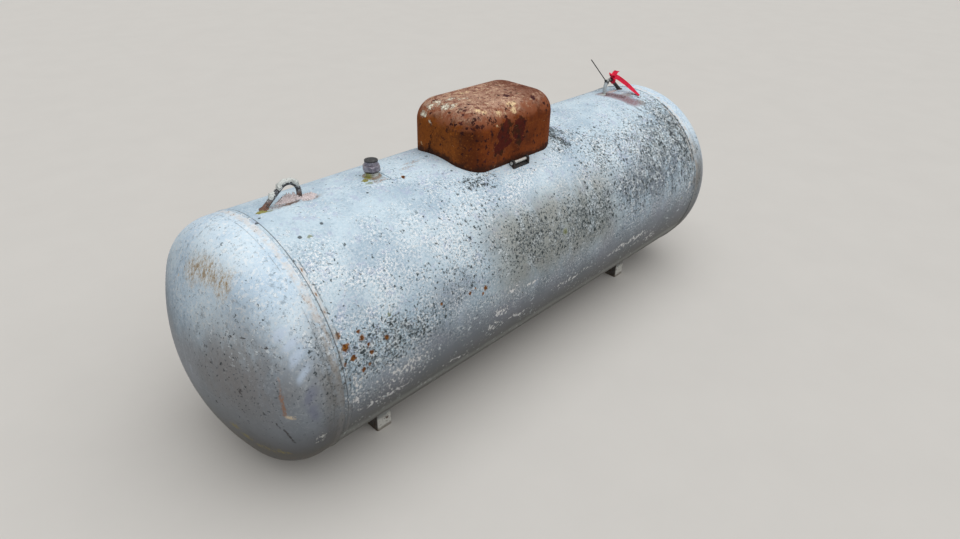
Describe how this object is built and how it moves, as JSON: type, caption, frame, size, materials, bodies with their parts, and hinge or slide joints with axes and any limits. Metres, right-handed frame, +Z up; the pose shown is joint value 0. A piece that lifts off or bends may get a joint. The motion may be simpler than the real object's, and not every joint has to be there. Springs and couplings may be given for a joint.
{
  "type": "horizontal pressure tank",
  "caption": "Horizontal welded steel tank for liquefied gas on short legs, with dished ends, lifting lugs, a relief valve and a hinged hood over its valves.",
  "frame": {"origin": "on the floor under the middle of the vessel", "axes": "+X along the vessel towards the end with the ribbon, +Y towards the hood hinges, +Z up"},
  "size_m": [2.928, 0.9548, 1.186],
  "materials": {
    "tank_paint": "weathered silver paint with lichen",
    "pale_paint": "chalky old paint",
    "leg_paint": "flaked white paint",
    "hood_rust": "rusty orange-brown paint",
    "bare_iron": "rusty dark steel",
    "valve_metal": "dull dark plating",
    "hinge_steel": "dull steel",
    "bright_bar": "bright worn steel",
    "brass": "dull brass",
    "black_plastic": "matt",
    "wheel_red": "faded red paint",
    "gauge_metal": "dull cast",
    "ribbon_red": "thin vinyl film"
  },
  "bodies": {
    "root": {"shell": "tank_paint", "head_near": "tank_paint", "head_far": "tank_paint", "girth_weld_near": "tank_paint", "girth_weld_far": "tank_paint", "long_weld": "tank_paint", "lug_near": "bare_iron", "lug_far": "bare_iron", "relief_coupling": "pale_paint", "relief_valve": "valve_metal", "rain_cap": "black_plastic", "data_plate": "pale_paint", "hinge_bracket_near": "pale_paint", "hinge_bracket_far": "pale_paint", "hinge_pin_near": "hinge_steel", "hinge_pin_far": "hinge_steel", "catch_bracket": "bare_iron", "catch_bar": "bright_bar", "service_coupling": "pale_paint", "service_valve": "brass", "handwheel": "wheel_red", "outlet_plug": "brass", "gauge_coupling": "pale_paint", "float_gauge": "gauge_metal", "level_vent": "brass", "fill_coupling": "pale_paint", "fill_valve": "brass", "fill_cap": "black_plastic", "vapour_coupling": "pale_paint", "vapour_valve": "brass", "vapour_cap": "brass", "leg_front_near": "leg_paint", "leg_front_far": "leg_paint", "leg_back_near": "leg_paint", "leg_back_far": "leg_paint", "leg_pads": "tank_paint", "marker_ribbon": "ribbon_red", "cable_tie": "black_plastic"},
    "hood": {"hood": "hood_rust", "hood_ear_near": "hood_rust", "hood_ear_far": "hood_rust"}
  },
  "joints": [
    {"name": "hood_hinge", "type": "hinge", "parent": "root", "child": "hood", "pos_m": [-0.042, 0.191, 0.96275], "axis": [-1, 0, 0], "range_deg": [0, 100]}
  ]
}
